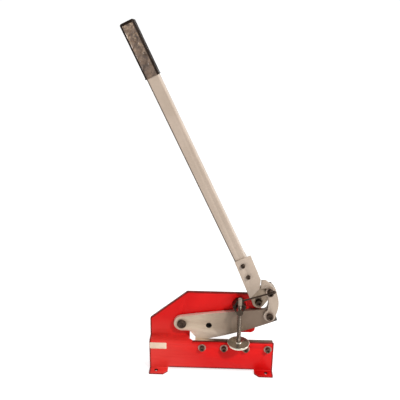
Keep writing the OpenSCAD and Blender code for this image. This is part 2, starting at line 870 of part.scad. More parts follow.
// Places its children on the handle's own axis, with Z along it from the screw's axis
module on_handle() {
    translate([clamp_x, clamp_y, handle_z]) rotate([0, 90 - handle_rise, 0]) children();
}

module clamp_screw() {
    z0 = pad_z + pad_seat + slide;
    color(BRIGHT) difference() {
        translate([clamp_x, clamp_y, z0]) cylinder(h = clamp_z + clamp_top - z0, r = clamp_d / 2);
        on_handle() translate([0, 0, -clamp_d]) cylinder(h = 2 * clamp_d, r = handle_d / 2 + fit);
    }
}

module clamp_handle() {
    tail = clamp_d / 2 + thread_over;
    color(BLACK) on_handle() translate([0, 0, -tail]) cylinder(h = handle_l + tail, r = handle_d / 2);
}

module clamp_ball() {
    color(BLACK) on_handle() translate([0, 0, handle_l]) difference() {
        sphere(d = ball_d);
        translate([0, 0, -ball_d]) cylinder(h = ball_d, r = handle_d / 2 + fit);
    }
}

back_plate();
front_plate();
frame_spacers();
lower_blade();
lower_blade_screws();
lower_blade_washers();
blade_pivot_bolt();
blade_pivot_washers();
blade_pivot_spacer();
blade_pivot_nut();
lever_pivot_bolt();
lever_pivot_spacer();
lever_pivot_nut();
clamp_arm();
clamp_arm_nuts();
upper_blade();
blade_bush();
blade_end_pin();
lever_tongue();
lever_bush();
lever_head();
lever_bar();
lever_grip();
lever_bolts();
lever_bolt_nuts();
front_link();
rear_link();
link_upper_bolt();
link_lower_bolt();
link_washers();
link_upper_nut();
link_lower_nut();
clamp_pad();
clamp_screw();
clamp_handle();
clamp_ball();
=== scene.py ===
import json
import math
from collections import namedtuple

import bmesh
import bpy
from mathutils import Matrix, Vector


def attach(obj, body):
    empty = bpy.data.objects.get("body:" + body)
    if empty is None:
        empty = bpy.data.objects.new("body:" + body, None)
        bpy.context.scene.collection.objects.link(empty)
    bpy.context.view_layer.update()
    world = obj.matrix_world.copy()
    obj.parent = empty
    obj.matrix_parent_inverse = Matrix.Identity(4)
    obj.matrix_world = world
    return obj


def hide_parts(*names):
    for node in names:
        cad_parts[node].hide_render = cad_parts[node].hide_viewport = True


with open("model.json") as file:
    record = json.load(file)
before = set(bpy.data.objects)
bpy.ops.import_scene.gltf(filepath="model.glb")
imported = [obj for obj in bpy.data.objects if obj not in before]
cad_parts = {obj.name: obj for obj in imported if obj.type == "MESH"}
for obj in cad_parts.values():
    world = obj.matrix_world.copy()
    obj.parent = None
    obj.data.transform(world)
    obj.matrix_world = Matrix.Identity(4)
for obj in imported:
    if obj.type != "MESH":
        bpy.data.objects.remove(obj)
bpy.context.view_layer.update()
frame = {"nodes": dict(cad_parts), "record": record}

# What the frame says
RECORD = frame["record"]
NODES = frame["nodes"]
BODY_OF = {n: body for body, nodes in RECORD["behaviour"]["bodies"].items() for n in nodes}


def named(entries, name):
    """The entry of this name in one of the record's lists."""
    return next(entry for entry in entries if entry["name"] == name)


def corners(points):
    """Lowest and highest corner of the box round some points."""
    points = list(points)
    return tuple(Vector([pick(p[i] for p in points) for i in range(3)]) for pick in (min, max))


def box_of(node, place=Matrix()):
    """Box of a CAD node, seen in another frame where one is given."""
    back = place.inverted()
    return corners(back @ v.co for v in NODES[node].data.vertices)


LEVER_PIVOT = Vector(named(RECORD["behaviour"]["joints"], "lever_pivot")["pos_m"])
BASE_BOLTS = named(RECORD["mounts"], "base_bolts")["dims"]
BAR_HOLE = named(RECORD["physics"]["openings"], "bar_hole")["box_m"]

# Sizes of the plates in metres: length of a foot, height of the lower edge between the feet,
# height above all feet, slope of the back plate, gap between ledge and lower blade
MM = 0.001
FOOT_L = 46 * MM
SKIRT_GAP = 7.5 * MM
SKIRT_TOP = 30 * MM
SLOPE_RUN, SLOPE_RISE = 93 * MM, 76.5 * MM
LEDGE_GAP = 6 * MM

# Front faces of both plates and their thickness
FRONT_FACE = box_of("lower_blade_washers")[1].y
BACK_FACE = box_of("lever_pivot_spacer")[1].y
PLATE_T = box_of("lever_pivot_nut")[0].y - BACK_FACE

# Bar hole in the blade and in the back plate, and the dark film of painted shade in a hole
BLADE_HOLE_R = 6.5 * MM
PLATE_HOLE_R = 4.75 * MM
FILM = 0.08 * MM
FILM_GAP = 0.02 * MM

# Directions, and the frame of the lever with its Z axis along the bar
UP = Vector((0, 0, 1))
DOWN = Vector((0, 0, -1))
LEFT = Vector((-1, 0, 0))
RIGHT = Vector((1, 0, 0))
SLOPE = Vector((-SLOPE_RISE, 0, SLOPE_RUN)).normalized()
LEAN = math.radians(25.5)
LEVER = Matrix.Translation(LEVER_PIVOT) @ Matrix.Rotation(-LEAN, 4, "Y")
LEVER_LEFT = LEVER.to_3x3() @ LEFT

# Mesh settings: points round a turned piece, distance within which points are joined, steps of a
# rounded edge, and the attribute on marked faces
SIDES = 72
WELD = 1e-6
ROUND_STEPS = 3
MARK = "cut"

# Angles between faces in degrees: below the first they count as one face, above the second their
# edge is rounded off, above the third it is shaded as sharp
FLAT = 0.3
ROUND = 35
SHARP = 32


# Node trees

class Nodes:
    """Short ways to fill a node tree."""

    def __init__(self, tree):
        self.tree = tree
        tree.nodes.clear()

    def feed(self, socket, value):
        """Links a socket to another, or sets it to a value."""
        if isinstance(value, bpy.types.NodeSocket):
            self.tree.links.new(value, socket)
        else:
            socket.default_value = value

    def add(self, kind, inputs=None, out=0, **settings):
        """Adds a node and gives one of its outputs, if it has any."""
        node = self.tree.nodes.new("ShaderNode" + kind)
        for key, value in settings.items():
            setattr(node, key, value)
        for key, value in (inputs or {}).items():
            self.feed(node.inputs[key], value)
        return node.outputs[out] if node.outputs else None

    def span(self, value, low, high, to_low=0.0, to_high=1.0):
        return self.add("MapRange", {
            "Value": value, "From Min": low, "From Max": high,
            "To Min": to_low, "To Max": to_high})

    def math(self, operation, *values):
        return self.add("Math", dict(enumerate(values)), operation=operation)

    def dot(self, a, b):
        return self.add("VectorMath", {0: a, 1: b}, out="Value", operation="DOT_PRODUCT")


class Shader(Nodes):
    """A material round one Principled surface."""

    def __init__(self, name):
        self.material = bpy.data.materials.new(name)
        self.material.use_nodes = True
        super().__init__(self.material.node_tree)
        coat = self.add("BsdfPrincipled")
        self.add("OutputMaterial", {"Surface": coat})
        self.surface = coat.node
        self.place = self.add("TexCoord", out="Object")
        self.height = None

    def set(self, **values):
        for key, value in values.items():
            self.feed(self.surface.inputs[key.replace("_", " ")], value)

    def axis(self, name):
        return self.add("SeparateXYZ", {"Vector": self.place}, out=name)

    def stretched(self, scale, turn=0.0):
        turned = self.add("Mapping", {"Vector": self.place, "Rotation": (0, turn, 0)})
        return self.add("Mapping", {"Vector": turned, "Scale": scale})

    def noise(self, scale, detail=3.0, rough=0.55, at=None):
        return self.add("TexNoise", {
            "Vector": at or self.place, "Scale": scale, "Detail": detail, "Roughness": rough})

    def cells(self, scale):
        return self.add("TexVoronoi", {"Vector": self.place, "Scale": scale})

    def blend(self, share, a, b):
        return self.add("Mix", {0: share, 6: a, 7: b}, out=2, data_type="RGBA")

    def edges(self, radius):
        """1 where the surface bends away within this radius, 0 on flat faces."""
        flat, bent = 0.985, 0.86
        rounded = self.add("Bevel", {"Radius": radius}, samples=4)
        even = self.dot(rounded, self.add("NewGeometry", out="Normal"))
        return self.span(even, flat, bent)

    def marked(self):
        """1 on the faces that mark() picked, 0 elsewhere."""
        return self.add("Attribute", out="Fac", attribute_name=MARK)

    def bump(self, height, distance, strength):
        """Adds relief on top of what is there."""
        inputs = {"Height": height, "Distance": distance, "Strength": strength}
        if self.height is not None:
            inputs["Normal"] = self.height
        self.height = self.add("Bump", inputs)
        self.set(Normal=self.height)


# Materials

def rgb(r, g, b):
    """Linear colour of an sRGB one given in 0 to 255."""
    def linear(c):
        c /= 255
        return c / 12.92 if c <= 0.04045 else ((c + 0.055) / 1.055) ** 2.4
    return (linear(r), linear(g), linear(b), 1.0)


Rim = namedtuple("Rim", "way reach wide half")


def outline(node, *ways, wide=2.4 * MM):
    """Rims of a CAD node: the ways, how far it reaches along each, and how wide painted shade lies
    there.
    """
    points = [v.co for v in NODES[node].data.vertices]
    return [Rim(way, max(way.dot(p) for p in points), wide, None) for way in ways]


def plate_outline(node, *ways):
    """Rims of a plate on feet. The last one is its lower edge between the feet, which also says
    how far it goes to both sides of the middle."""
    rims = outline(node, *ways, DOWN)
    return rims + [Rim(DOWN, -SKIRT_GAP, rims[0].wide, box_of(node)[1].x - FOOT_L)]


def lit_low_left_end(s, colour, painted_light_left):
    """Painted light: blends a colour towards a lighter one at the low left end."""
    left = s.span(s.axis("X"), -10 * MM, -120 * MM)
    low = s.span(s.axis("Z"), 140 * MM, 80 * MM)
    return s.blend(s.math("MULTIPLY", left, low), colour, painted_light_left)


def shaded_rims(s, colour, rims, shade_colour):
    """Smears painted shade over a colour along the rims."""
    smear = s.span(s.noise(60, 3), 0.3, 0.6, 0.6, 0.9)
    for way, reach, wide, half in rims:
        rim_shade = s.span(s.dot(s.place, way), reach - 1.8 * wide, reach - wide)
        if half:
            across = s.math("ABSOLUTE", s.axis("X"))
            rim_shade = s.math("MULTIPLY", rim_shade, s.span(across, half, half - 4 * MM))
        colour = s.blend(s.math("MULTIPLY", rim_shade, smear), colour, shade_colour)
    return colour


def paint(name, base, deep, edge, chip, cut, gloss, shine, painted_light_left=None, rims=()):
    """Sprayed enamel: cloudy tone, orange peel, nibs in the coat, edges darkened as painted shade
    and chipped. Marked faces are darkened: thin, dirty paint on sheared edges, and painted shade
    there and on faces turned from the light. Painted shade lies along the rims, and the low left
    end is painted lighter where a colour is given for it."""
    s = Shader(name)
    cloud = s.span(s.noise(11, 4), 0.32, 0.7)
    colour = s.blend(cloud, base, deep)
    if painted_light_left:
        colour = lit_low_left_end(s, colour, painted_light_left)
    streak = s.noise(1, 4, at=s.stretched((14, 14, 160)))
    colour = s.blend(s.span(streak, 0.5, 0.8, 0.0, 0.35), colour, deep)
    # Marked faces: thin, dirty paint on sheared edges, and painted shade on faces turned from the
    # light
    thin_paint_and_shade = s.math("MULTIPLY", s.marked(), s.span(s.noise(90, 4), 0.25, 0.6, 0.65, 1.0))
    colour = s.blend(thin_paint_and_shade, colour, cut)
    colour = shaded_rims(s, colour, rims, cut)
    # Painted shade: every edge is darkened towards the edge colour
    bend = s.edges(1.1 * MM)
    colour = s.blend(s.math("MULTIPLY", bend, 0.75), colour, edge)
    chips = s.span(s.noise(260, 5, 0.7), 0.6, 0.66)
    worn = s.math("MULTIPLY", bend, chips)
    colour = s.blend(worn, colour, chip)
    nibs = s.span(s.cells(190), 0.1, 0.04)
    colour = s.blend(s.math("MULTIPLY", nibs, 0.25), colour, edge)
    rough = s.span(s.noise(70, 4), 0.3, 0.75, gloss, gloss + 0.16)
    rough = s.math("ADD", rough, s.math("MULTIPLY", worn, 0.25))
    s.set(Base_Color=colour, Roughness=rough, Specular_IOR_Level=shine)
    s.bump(s.noise(620, 2), 0.06 * MM, 0.35)
    s.bump(nibs, 0.1 * MM, 0.4)
    s.bump(worn, -0.08 * MM, 0.5)
    return s.material


def steel(name, base, dark, rough, grain, turn=0.0, stains=0.5, metal=1.0, painted_light_low=None, shade_ramps=(),
          marked=None):
    """Worked steel: grinding lines along one way, stains, and edges brightened as painted highlights.
    Painted light low down lightens it: where it begins, where it is full, and its colour. Ramps of
    painted shade say the same along X. Marked faces may have a colour of their own."""
    s = Shader(name)
    lines = s.noise(1, 5, 0.65, at=s.stretched(grain, turn))
    fine = s.noise(3, 3, 0.6, at=s.stretched(grain, turn))
    cloud = s.span(s.noise(24, 5, 0.6), 0.4, 0.72, 0.0, stains)
    colour = s.blend(cloud, base, dark)
    colour = s.blend(s.span(lines, 0.42, 0.7, 0.0, 0.4), colour, dark)
    # Painted light: lighter low down
    if painted_light_low:
        top, low, tint = painted_light_low
        colour = s.blend(s.span(s.axis("Z"), top, low, 0.0, 0.8), colour, tint)
    # Painted highlight: the edges are lightened
    lit = tuple(min(1.0, 1.3 * c) for c in base[:3]) + (1.0,)
    colour = s.blend(s.math("MULTIPLY", s.edges(0.5 * MM), 0.6), colour, lit)
    # Painted shade: darker along X
    for start, end, tint in shade_ramps:
        ragged = s.math("MULTIPLY_ADD", s.noise(16, 3), 30 * MM, s.axis("X"))
        colour = s.blend(s.span(ragged, start, end, 0.0, 0.92), colour, tint)
    if marked:
        colour = s.blend(s.math("MULTIPLY", s.marked(), 0.8), colour, marked)
    s.set(Base_Color=colour, Metallic=metal,
          Roughness=s.span(fine, 0.3, 0.75, rough, rough + 0.2))
    s.bump(lines, 0.05 * MM, 0.3)
    s.bump(fine, 0.03 * MM, 0.25)
    return s.material


def oxide(name, base, worn, rubbed, rough=0.3):
    """Black oxide: nearly black, worn in clouds, rubbed along the edges, with an oily sheen."""
    s = Shader(name)
    cloud = s.span(s.noise(120, 4), 0.38, 0.7)
    colour = s.blend(cloud, base, worn)
    share = s.math("MULTIPLY", s.edges(0.45 * MM), s.span(s.noise(420, 3), 0.35, 0.6))
    colour = s.blend(share, colour, rubbed)
    s.set(Base_Color=colour, Metallic=0.8,
          Roughness=s.span(s.noise(300, 3), 0.3, 0.7, rough, rough + 0.18))
    s.bump(s.noise(900, 3), 0.03 * MM, 0.4)
    return s.material


def plastic(name):
    """Moulded grip: glossy dark plastic, lighter towards its upper end with dust and painted sheen.
    Marked faces are painted dark as shade, with little reflection.
    """
    top_tint_from, top_tint_full = 740 * MM, 810 * MM
    s = Shader(name)
    cloud = s.span(s.noise(70, 3, 0.5), 0.36, 0.66)
    colour = s.blend(cloud, rgb(70, 55, 45), rgb(112, 92, 77))
    # Dust and painted sheen lighten the upper end
    dust_and_sheen = s.math("MULTIPLY", s.span(s.noise(110, 4, 0.6), 0.5, 0.64),
                  s.span(s.axis("Z"), top_tint_from, top_tint_full))
    colour = s.blend(s.math("MULTIPLY", dust_and_sheen, 0.8), colour, rgb(160, 137, 114))
    # Painted shade: marked faces are near black
    shaded_faces = s.blend(s.span(s.noise(120, 4), 0.3, 0.7), rgb(26, 19, 15), rgb(40, 31, 25))
    colour = s.blend(s.marked(), colour, shaded_faces)
    s.set(Base_Color=colour, Roughness=s.span(s.noise(150, 3), 0.3, 0.7, 0.2, 0.36),
          Specular_IOR_Level=s.span(s.marked(), 0, 1, 0.5, 0.03))
    s.bump(s.noise(1100, 2), 0.04 * MM, 0.3)
    return s.material


def paper(name):
    """Blank cream label stock, a little stained."""
    s = Shader(name)
    cloud = s.span(s.noise(60, 4), 0.4, 0.75)
    colour = s.blend(cloud, rgb(217, 194, 171), rgb(204, 178, 155))
    s.set(Base_Color=colour, Roughness=s.span(s.noise(700, 3), 0.3, 0.7, 0.42, 0.6),
          Specular_IOR_Level=0.2)
    s.bump(s.noise(1500, 2), 0.02 * MM, 0.3)
    return s.material


def floor_paper(name):
    """White paper sweep, lit from behind as a light table is."""
    s = Shader(name)
    colour = s.blend(s.span(s.noise(3, 3), 0.3, 0.7), rgb(182, 182, 182), rgb(178, 178, 177))
    s.set(Base_Color=colour, Roughness=s.span(s.noise(40, 3), 0.3, 0.7, 0.7, 0.85),
          Emission_Color=(1, 1, 1, 1), Emission_Strength=0.73)
    return s.material


# Paints
# The red paint is painted lighter at its low left end
RED_TONES = dict(
    base=rgb(212, 24, 22), deep=rgb(194, 15, 15), edge=rgb(104, 12, 10), chip=rgb(120, 86, 76),
    cut=rgb(96, 20, 14), gloss=0.3, shine=0.1, painted_light_left=rgb(216, 54, 48))
GREY_TONES = dict(
    base=rgb(176, 159, 144), deep=rgb(164, 147, 131), edge=rgb(126, 113, 97),
    chip=rgb(104, 94, 84), cut=rgb(84, 72, 62), gloss=0.3, shine=0.4)
LINK_TONES = dict(
    GREY_TONES, base=rgb(167, 150, 135), deep=rgb(156, 139, 123), edge=rgb(120, 107, 92))
RED = paint("red_enamel", **RED_TONES)
# The plates and the bar get painted shade along their rims
RED_BACK = paint("red_enamel_back", **RED_TONES,
                 rims=plate_outline("back_plate", SLOPE, UP, LEFT))
RED_FRONT = paint("red_enamel_front", **RED_TONES,
                  rims=plate_outline("front_plate", LEFT, RIGHT))
GREY = paint("grey_enamel", **GREY_TONES)
GREY_BAR = paint("grey_enamel_bar", **GREY_TONES,
                 rims=outline("lever_bar", LEVER_LEFT, wide=2.1 * MM))
LINK = paint("grey_enamel_links", **LINK_TONES)

# Bare and plated metals. A grain is how fine the lines are along each axis.
GROUND = (40, 300, 1100)
TURNED = (300, 300, 90)
# The upper blade is painted lighter low down and on its top left of the clamp, with painted shade to
# the right and at the tip
BLADE = steel("ground_steel", rgb(190, 171, 150), rgb(158, 140, 120), 0.44, GROUND,
              stains=0.4, metal=0.5, painted_light_low=(116 * MM, 98 * MM, rgb(238, 220, 200)),
              shade_ramps=((-20 * MM, 80 * MM, rgb(112, 94, 80)),
                     (158 * MM, 170 * MM, rgb(66, 62, 58))),
              marked=rgb(236, 220, 203))
# Painted shade: the lower blade darkens to the right, and its light base colour is painted light
LOWER = steel("lower_steel", rgb(255, 240, 222), rgb(228, 208, 188), 0.4, GROUND,
              stains=0.3, shade_ramps=((-12 * MM, 22 * MM, rgb(88, 52, 34)),))
TONGUE = steel("milled_steel", rgb(150, 134, 118), rgb(110, 97, 82), 0.36, (1100, 300, 60),
               turn=-LEAN, stains=0.6)
PLATED = steel("plated_steel", rgb(144, 129, 115), rgb(100, 88, 77), 0.2, TURNED,
               metal=0.6, marked=rgb(90, 77, 66))
STUD = steel("stud_steel", rgb(150, 133, 118), rgb(92, 78, 67), 0.2, (300, 90, 300),
             marked=rgb(16, 7, 4))
# Painted reflection: washers tinted by the red paint they mirror
RED_REFLECTING_PLATING = steel("plating_with_painted_red_reflection", rgb(172, 134, 122), rgb(118, 86, 76), 0.36, TURNED)
WASHER = steel("dull_plating", rgb(172, 152, 138), rgb(116, 100, 88), 0.34, TURNED)
POLISHED = steel("polished_steel", rgb(226, 219, 203), rgb(166, 159, 141), 0.04, (300, 300, 300),
                 metal=0.95)
BRONZE = steel("turned_bronze", rgb(176, 136, 82), rgb(118, 84, 46), 0.3, (500, 60, 500))

# Dark coats, and what isn't metal
OXIDE = oxide("black_oxide", rgb(52, 40, 32), rgb(76, 60, 49), rgb(134, 118, 102))
DEEP = oxide("deep_oxide", rgb(34, 22, 16), rgb(56, 41, 32), rgb(142, 124, 108), 0.22)
WORN = oxide("worn_oxide", rgb(74, 54, 44), rgb(102, 80, 66), rgb(140, 122, 106))
# Dark films of painted shade for the bar holes and the base holes
DARK_HOLE_SHADE = oxide("painted_dark_hole_shade", rgb(24, 17, 12), rgb(38, 28, 20), rgb(60, 46, 34), 0.6)
RED_HOLE_SHADE = oxide("painted_red_hole_shade", rgb(84, 12, 10), rgb(104, 18, 14), rgb(124, 26, 20), 0.6)
GRIP = plastic("grip_plastic")
LABEL = paper("label_stock")
FLOOR = floor_paper("floor_paper")


# Meshes

def from_bm(name, bm, sharp=SHARP):
    """Mesh of a finished bmesh, shaded smooth except at edges sharper than this angle."""
    bmesh.ops.recalc_face_normals(bm, faces=bm.faces)
    bm.normal_update()
    limit = math.radians(sharp)
    for edge in bm.edges:
        edge.smooth = len(edge.link_faces) == 2 and edge.calc_face_angle(0.0) < limit
    for face in bm.faces:
        face.smooth = True
    mesh = bpy.data.meshes.new(name)
    bm.to_mesh(mesh)
    bm.free()
    return mesh


def show(name, mesh, material, node=None, body=None):
    """Puts a mesh in the scene on its body, in place of a CAD node where one is named."""
    mesh.materials.clear()
    mesh.materials.append(material)
    obj = bpy.data.objects.new(name, mesh)
    bpy.context.scene.collection.objects.link(obj)
    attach(obj, body or BODY_OF[node])
    if node:
        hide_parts(node)


def welded(node):
    """The CAD node's surface as one connected mesh without its flat triangles."""
    bm = bmesh.new()
    bm.from_mesh(NODES[node].data)
    bmesh.ops.remove_doubles(bm, verts=bm.verts, dist=WELD)
    bmesh.ops.dissolve_limit(bm, angle_limit=math.radians(FLAT), verts=bm.verts, edges=bm.edges)
    return bm


def mark(mesh, test):
    """Picks the faces whose centre and normal pass a test, for the material to tell apart."""
    picked = mesh.attributes.new(MARK, "FLOAT", "FACE").data
    for polygon, value in zip(mesh.polygons, picked):
        value.value = float(test(polygon.center, polygon.normal))


def rounded(node, width, material, test=None):
    """The CAD node's shape with its edges rounded off, and marked faces where a test is given."""
    bm = welded(node)
    mesh = bpy.data.meshes.new(node + "_shape")
    bm.to_mesh(mesh)
    bm.free()
    mesh.validate()
    obj = bpy.data.objects.new(node + "_round", mesh)
    bpy.context.scene.collection.objects.link(obj)
    bevel = obj.modifiers.new("round", "BEVEL")
    bevel.width = width
    bevel.segments = ROUND_STEPS
    bevel.limit_method = "ANGLE"
    bevel.angle_limit = math.radians(ROUND)
    bevel.use_clamp_overlap = True
    obj.modifiers.new("weld", "WELD").merge_threshold = WELD
    obj.modifiers.new("even", "WEIGHTED_NORMAL")
    done = bpy.data.meshes.new_from_object(
        obj.evaluated_get(bpy.context.evaluated_depsgraph_get()))
    bpy.data.objects.remove(obj)
    done.name = node + "_round"
    for polygon in done.polygons:
        polygon.use_smooth = True
    if test:
        mark(done, test)
    show(node + "_round", done, material, node)


def islands(node, place=Matrix()):
    """Boxes of the separate solids of a CAD node from left to right, seen in another frame where
    one is given."""
    back = place.inverted()
    bm = welded(node)
    seen, found = set(), []
    for first in bm.verts:
        if first in seen:
            continue
        seen.add(first)
        queue, points = [first], []
        while queue:
            vert = queue.pop()
            points.append(back @ vert.co)
            for edge in vert.link_edges:
                other = edge.other_vert(vert)
                if other not in seen:
                    seen.add(other)
                    queue.append(other)
        found.append(corners(points))
    bm.free()
    return sorted(found, key=lambda pair: (pair[0].x, pair[0].y))


def skin(bm, rings, place):
    """Skin over a stack of rings of points. A ring of one point closes an end."""
    made = [[bm.verts.new(place @ Vector(p)) for p in points] for points in rings]
    for a, b in zip(made, made[1:]):
        count = max(len(a), len(b))
        for i in range(count):
            j = (i + 1) % count
            four = [a[i % len(a)], a[j % len(a)], b[j % len(b)], b[i % len(b)]]
            bm.faces.new(list(dict.fromkeys(four)))


def ring(r, z):
    """Ring about the Z axis. Its radius and height may depend on the angle."""
    points = []
    for i in range(SIDES):
        a = 2 * math.pi * i / SIDES
        radius = r(a) if callable(r) else r
        height = z(a) if callable(z) else z
        points.append((radius * math.cos(a), radius * math.sin(a), height))
    return points


def hex_r(af):
    """Radius of a hexagon with a corner at angle 0, by its width across flats."""
    return lambda a: af / 2 / math.cos(a % (math.pi / 3) - math.pi / 6)


def thread(r, depth, pitch, z0, z1):
    """Rings of a screw thread between two heights, running out at both ends."""
    per_turn = 8
    count = max(2, round(abs(z1 - z0) / pitch * per_turn))
    rings = []
    for k in range(count + 1):
        z = z0 + (z1 - z0) * k / count
        run_out = min(1.0, min(k, count - k) / per_turn)

        def radius(a, z=z, run_out=run_out):
            wave = 2 * abs((z / pitch - a / (2 * math.pi)) % 1.0 - 0.5)
            return r - depth * run_out * min(1.0, max(0.0, 1.5 * wave - 0.25))
        rings.append(ring(radius, z))
    return rings


def facing(x, y, z):
    """Local Z towards the operator, local X to the right, at a point of the frame."""
    return Matrix.Translation((x, y, z)) @ Matrix.Rotation(math.radians(90), 4, "X")


def steps(low, high, count):
    """Evenly spaced values, both ends included."""
    return [low + (high - low) * i / count for i in range(count + 1)]


def ease(share):
    """Smooth step from 0 to 1."""
    share = min(1.0, max(0.0, share))
    return share * share * (3 - 2 * share)


# Fasteners, by the diameter and pitch of their threads

Metric = namedtuple("Metric", "d pitch")
M6 = Metric(6 * MM, 1 * MM)
M8 = Metric(8 * MM, 1.25 * MM)
M12 = Metric(12 * MM, 1.75 * MM)
M14 = Metric(14 * MM, 2 * MM)
M16 = Metric(16 * MM, 2 * MM)


def cap_screw(bm, place, metric, length, threaded, head_r, head_h):
    """Socket cap screw with a knurled head. Its head stands on Z = 0 and its shank runs down."""
    r = metric.d / 2
    pitch = metric.pitch
    tip = 0.12 * r
    edge = 0.07 * head_r
    knurl = 0.022 * head_r
    socket = head_r
    deep = 0.55 * head_h

    def grip_r(a):
        return head_r - knurl * (round(a / (2 * math.pi) * SIDES) % 2)
    rings = [[(0, 0, -length)], ring(r - 2 * tip, -length), ring(r, -length + 2 * tip)]
    if threaded > 0:
        rings += thread(r, 0.55 * pitch, pitch, -length + 2.2 * tip, -length + threaded)
    rings += [
        ring(r, 0), ring(head_r - edge, 0), ring(head_r - knurl, edge),
        ring(grip_r, 1.6 * edge), ring(grip_r, head_h - 2.6 * edge),
        ring(head_r - knurl, head_h - 2.2 * edge), ring(head_r - 0.7 * edge, head_h - edge),
        ring(head_r - 2 * edge, head_h - 0.25 * edge), ring(head_r - 3 * edge, head_h),
        ring(0.64 * socket, head_h), ring(hex_r(socket), head_h - 0.12 * socket),
        ring(hex_r(socket), head_h - deep), [(0, 0, head_h - deep - 0.2 * socket)],
    ]
    skin(bm, rings, place)


def screws(node, metric, head_h, threaded, material=OXIDE):
    """Cap screws in place of a CAD node, each as wide and as long as its solid."""
    name = node + "_cap"
    bm = bmesh.new()
    for low, high in islands(node):
        middle = (low + high) / 2
        cap_screw(bm, facing(middle.x, low.y + head_h, middle.z), metric,
                  high.y - low.y - head_h, threaded, (high.x - low.x) / 2, head_h)
    show(name, from_bm(name, bm), material, node)


def hex_nut(bm, place, af, bore_r, height):
    """Nut with chamfered corners, standing on Z = 0."""
    face_r = 0.47 * af
    mouth = 0.06 * af
    outer = hex_r(af)
    slope = math.tan(math.radians(30))

    def rise(a):
        return (outer(a) - face_r) * slope

    def fall(a):
        return height - (outer(a) - face_r) * slope
    skin(bm, [
        ring(bore_r, mouth), ring(bore_r + mouth, 0), ring(face_r, 0), ring(outer, rise),
        ring(outer, fall), ring(face_r, height), ring(bore_r + mouth, height),
        ring(bore_r, height - mouth), ring(bore_r, mouth),
    ], place)


def nuts(node, metric, place=Matrix(), material=OXIDE):
    """Nuts in place of a CAD node, each as wide and as high as its solid, with room round the
    thread. In the frame that is given they have a flat side on top."""
    name = node + "_hex"
    room = 0.05 * MM
    bm = bmesh.new()
    for low, high in islands(node, place):
        middle = (low + high) / 2
        hex_nut(bm, place @ facing(middle.x, high.y, middle.z), high.z - low.z,
                metric.d / 2 + room, high.y - low.y)
    bmesh.ops.remove_doubles(bm, verts=bm.verts, dist=WELD)
    show(name, from_bm(name, bm), material, node)


# Pieces with shapes of their own

def lozenges(end):
    """How deep a face of the grip is sunk, by the place across it and the height along it."""
    first = 16 * MM
    pitch = 23 * MM
    large, small, aside = 10 * MM, 8 * MM, 10.5 * MM
    sink = 1.4 * MM
    slope = 0.3
    rows = int((end - first) / pitch) + 1

    def lozenge(u, v, size):
        return ease((1 - abs(u) / size - abs(v) / size) / slope)

    def dent(u, z):
        deep = 0.0
        for k in range(rows):
            v = z - first - k * pitch
            deep = max(deep, lozenge(u, v, large))
            for side in (-1, 1):
                deep = max(deep, lozenge(u - side * aside, v - pitch / 2, small))
        return sink * deep
    return dent


def square_ring(reach, flat, z, dent=None):
    """Ring of a square with round corners about the Z axis: how far out its faces lie, half the
    width of their flat part, and how deep they are sunk where that is given."""
    points = []
    bend = reach - flat
    for k in range(4):
        out = Vector((math.cos(k * math.pi / 2), math.sin(k * math.pi / 2)))
        side = Vector((-out.y, out.x))
        for u in steps(-flat, flat, 22):
            points.append(out * (reach - (dent(u, z) if dent else 0)) + side * u)
        for a in steps(0, math.pi / 2, 6)[1:-1]:
            points.append(out * (flat + bend * math.cos(a)) + side * (flat + bend * math.sin(a)))
    return [(p.x, p.y, z) for p in points]


def grip():
    """Square moulded grip with a lip, a domed end and lozenges sunk in its four faces."""
    name = "lever_grip_lozenges"
    low, high = box_of("lever_grip", LEVER)
    middle = (low + high) / 2
    half = (high.x - low.x) / 2
    length = high.z - low.z
    corner = 6 * MM
    dome, dome_a = 4 * MM, 0.12
    lip, lip_l, lip_a = 0.7 * MM, 3 * MM, 0.25
    bar = box_of("lever_bar", LEVER)
    bore_half = (bar[1].x - bar[0].x) / 2 + 0.05 * MM
    bore_deep = 4 * MM
    shade_side, shade_end = 4.5 * MM, 6 * MM
    dent = lozenges(length - dome)

    def section(z, inset=0.0, sunk=None):
        return square_ring(half - inset, half - corner - 0.4 * inset, z, sunk)

    def plain(reach, z):
        return section(z, half - reach)

    # Painted shade: the sides and the top end are marked dark
    def shaded_faces(at, normal):
        at = LEVER.inverted() @ at
        return abs(at.x - middle.x) > half - shade_side or at.z > high.z - shade_end
    rings = [[(0, 0, bore_deep)], plain(bore_half, bore_deep), plain(bore_half, 0)]
    rings += [plain(half + lip * math.sin(a), lip_l / 2 * (1 - math.cos(a)))
              for a in steps(lip_a, math.pi - lip_a, 6)]
    rings += [section(z, sunk=dent) for z in steps(lip_l, length - dome, 104)]
    rings += [section(length - dome + dome * math.sin(a), dome * (1 - math.cos(a)))
              for a in steps(dome_a, math.pi / 2, 7)]
    rings.append([(0, 0, length)])
    bm = bmesh.new()
    skin(bm, rings, LEVER @ Matrix.Translation((middle.x, middle.y, low.z)))
    mesh = from_bm(name, bm, sharp=50)
    mark(mesh, shaded_faces)
    show(name, mesh, GRIP, "lever_grip")


def clamp_screw():
    """Clamp screw with a thread below, which is marked, and a plain head for the handle."""
    name = "clamp_screw_thread"
    low, high = box_of("clamp_screw")
    middle = (low + high) / 2
    r = (high.x - low.x) / 2
    length = high.z - low.z
    head = 16 * MM
    seat = 8 * MM
    edge = 0.8 * MM
    depth, pitch = 0.8 * MM, 2.2 * MM
    rings = [[(0, 0, 0)], ring(r - edge, 0), ring(r, edge)]
    rings += thread(r, depth, pitch, seat, length - head)
    rings += [ring(r, length - 2 * edge), ring(r - 0.4 * edge, length - 0.7 * edge),
              ring(r - 1.4 * edge, length), [(0, 0, length)]]
    bm = bmesh.new()
    skin(bm, rings, Matrix.Translation((middle.x, middle.y, low.z)))
    mesh = from_bm(name, bm, sharp=60)
    mark(mesh, lambda at, normal: at.z < high.z - head)
    show(name, mesh, PLATED, "clamp_screw")


